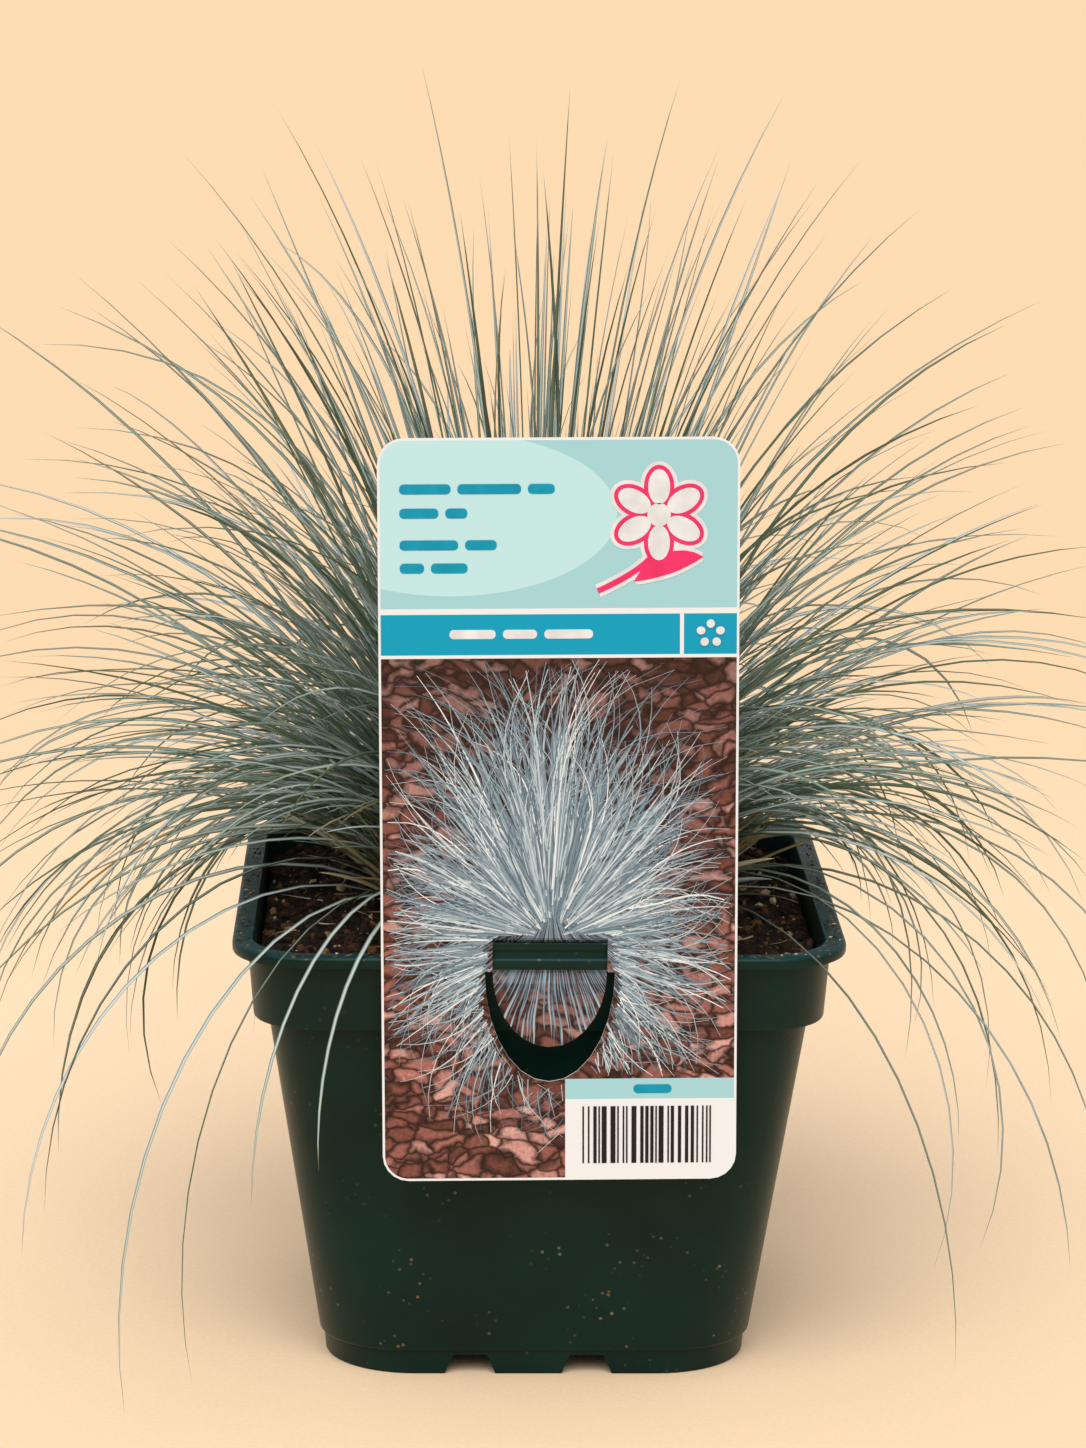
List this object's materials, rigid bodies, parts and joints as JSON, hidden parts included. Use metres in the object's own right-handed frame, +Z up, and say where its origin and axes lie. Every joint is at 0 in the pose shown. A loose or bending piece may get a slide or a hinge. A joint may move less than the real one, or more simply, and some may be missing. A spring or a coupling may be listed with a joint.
{
  "type": "potted blue fescue clump",
  "caption": "Clump of fine blue-green ornamental grass in a square tapered plastic nursery pot, with a rectangular plant label hooked on the rim.",
  "frame": {"origin": "centre of the pot's underside, on the ground plane", "axes": "+Z up through the clump, -Y towards the side of the pot that carries the label"},
  "size_m": [0.2612, 0.2236, 0.2785],
  "materials": {
    "pot_plastic": "dark green moulded plastic with a dull sheen",
    "soil": "moist dark peat, crumbly",
    "crown_fibre": "dry straw-coloured leaf bases",
    "label_card": "printed plastic sheet",
    "fescue_leaf": "waxy blue-green needle leaves"
  },
  "bodies": {
    "root": {"crown": "crown_fibre", "leaf_tuft_01": "fescue_leaf", "leaf_tuft_02": "fescue_leaf", "leaf_tuft_03": "fescue_leaf", "leaf_tuft_04": "fescue_leaf", "leaf_tuft_05": "fescue_leaf", "leaf_tuft_06": "fescue_leaf", "leaf_tuft_07": "fescue_leaf", "leaf_tuft_08": "fescue_leaf", "leaf_tuft_09": "fescue_leaf", "leaf_tuft_10": "fescue_leaf", "leaf_tuft_11": "fescue_leaf", "leaf_tuft_12": "fescue_leaf", "leaf_tuft_13": "fescue_leaf", "leaf_tuft_14": "fescue_leaf", "leaf_tuft_15": "fescue_leaf", "leaf_tuft_16": "fescue_leaf", "leaf_tuft_17": "fescue_leaf", "leaf_tuft_18": "fescue_leaf", "leaf_tuft_19": "fescue_leaf", "leaf_tuft_20": "fescue_leaf", "leaf_tuft_21": "fescue_leaf", "leaf_tuft_22": "fescue_leaf", "leaf_tuft_23": "fescue_leaf", "leaf_tuft_24": "fescue_leaf", "leaf_tuft_25": "fescue_leaf", "leaf_tuft_26": "fescue_leaf", "leaf_tuft_27": "fescue_leaf", "leaf_tuft_28": "fescue_leaf", "leaf_tuft_29": "fescue_leaf", "leaf_tuft_30": "fescue_leaf", "leaf_tuft_31": "fescue_leaf", "leaf_tuft_32": "fescue_leaf", "leaf_tuft_33": "fescue_leaf", "leaf_tuft_34": "fescue_leaf", "leaf_tuft_35": "fescue_leaf", "leaf_tuft_36": "fescue_leaf", "leaf_tuft_37": "fescue_leaf", "leaf_tuft_38": "fescue_leaf", "leaf_tuft_39": "fescue_leaf", "leaf_tuft_40": "fescue_leaf", "leaf_tuft_41": "fescue_leaf", "leaf_tuft_42": "fescue_leaf", "leaf_tuft_43": "fescue_leaf", "leaf_tuft_44": "fescue_leaf", "plant_label": "label_card", "pot": "pot_plastic", "potting_soil": "soil"}
  },
  "joints": []
}
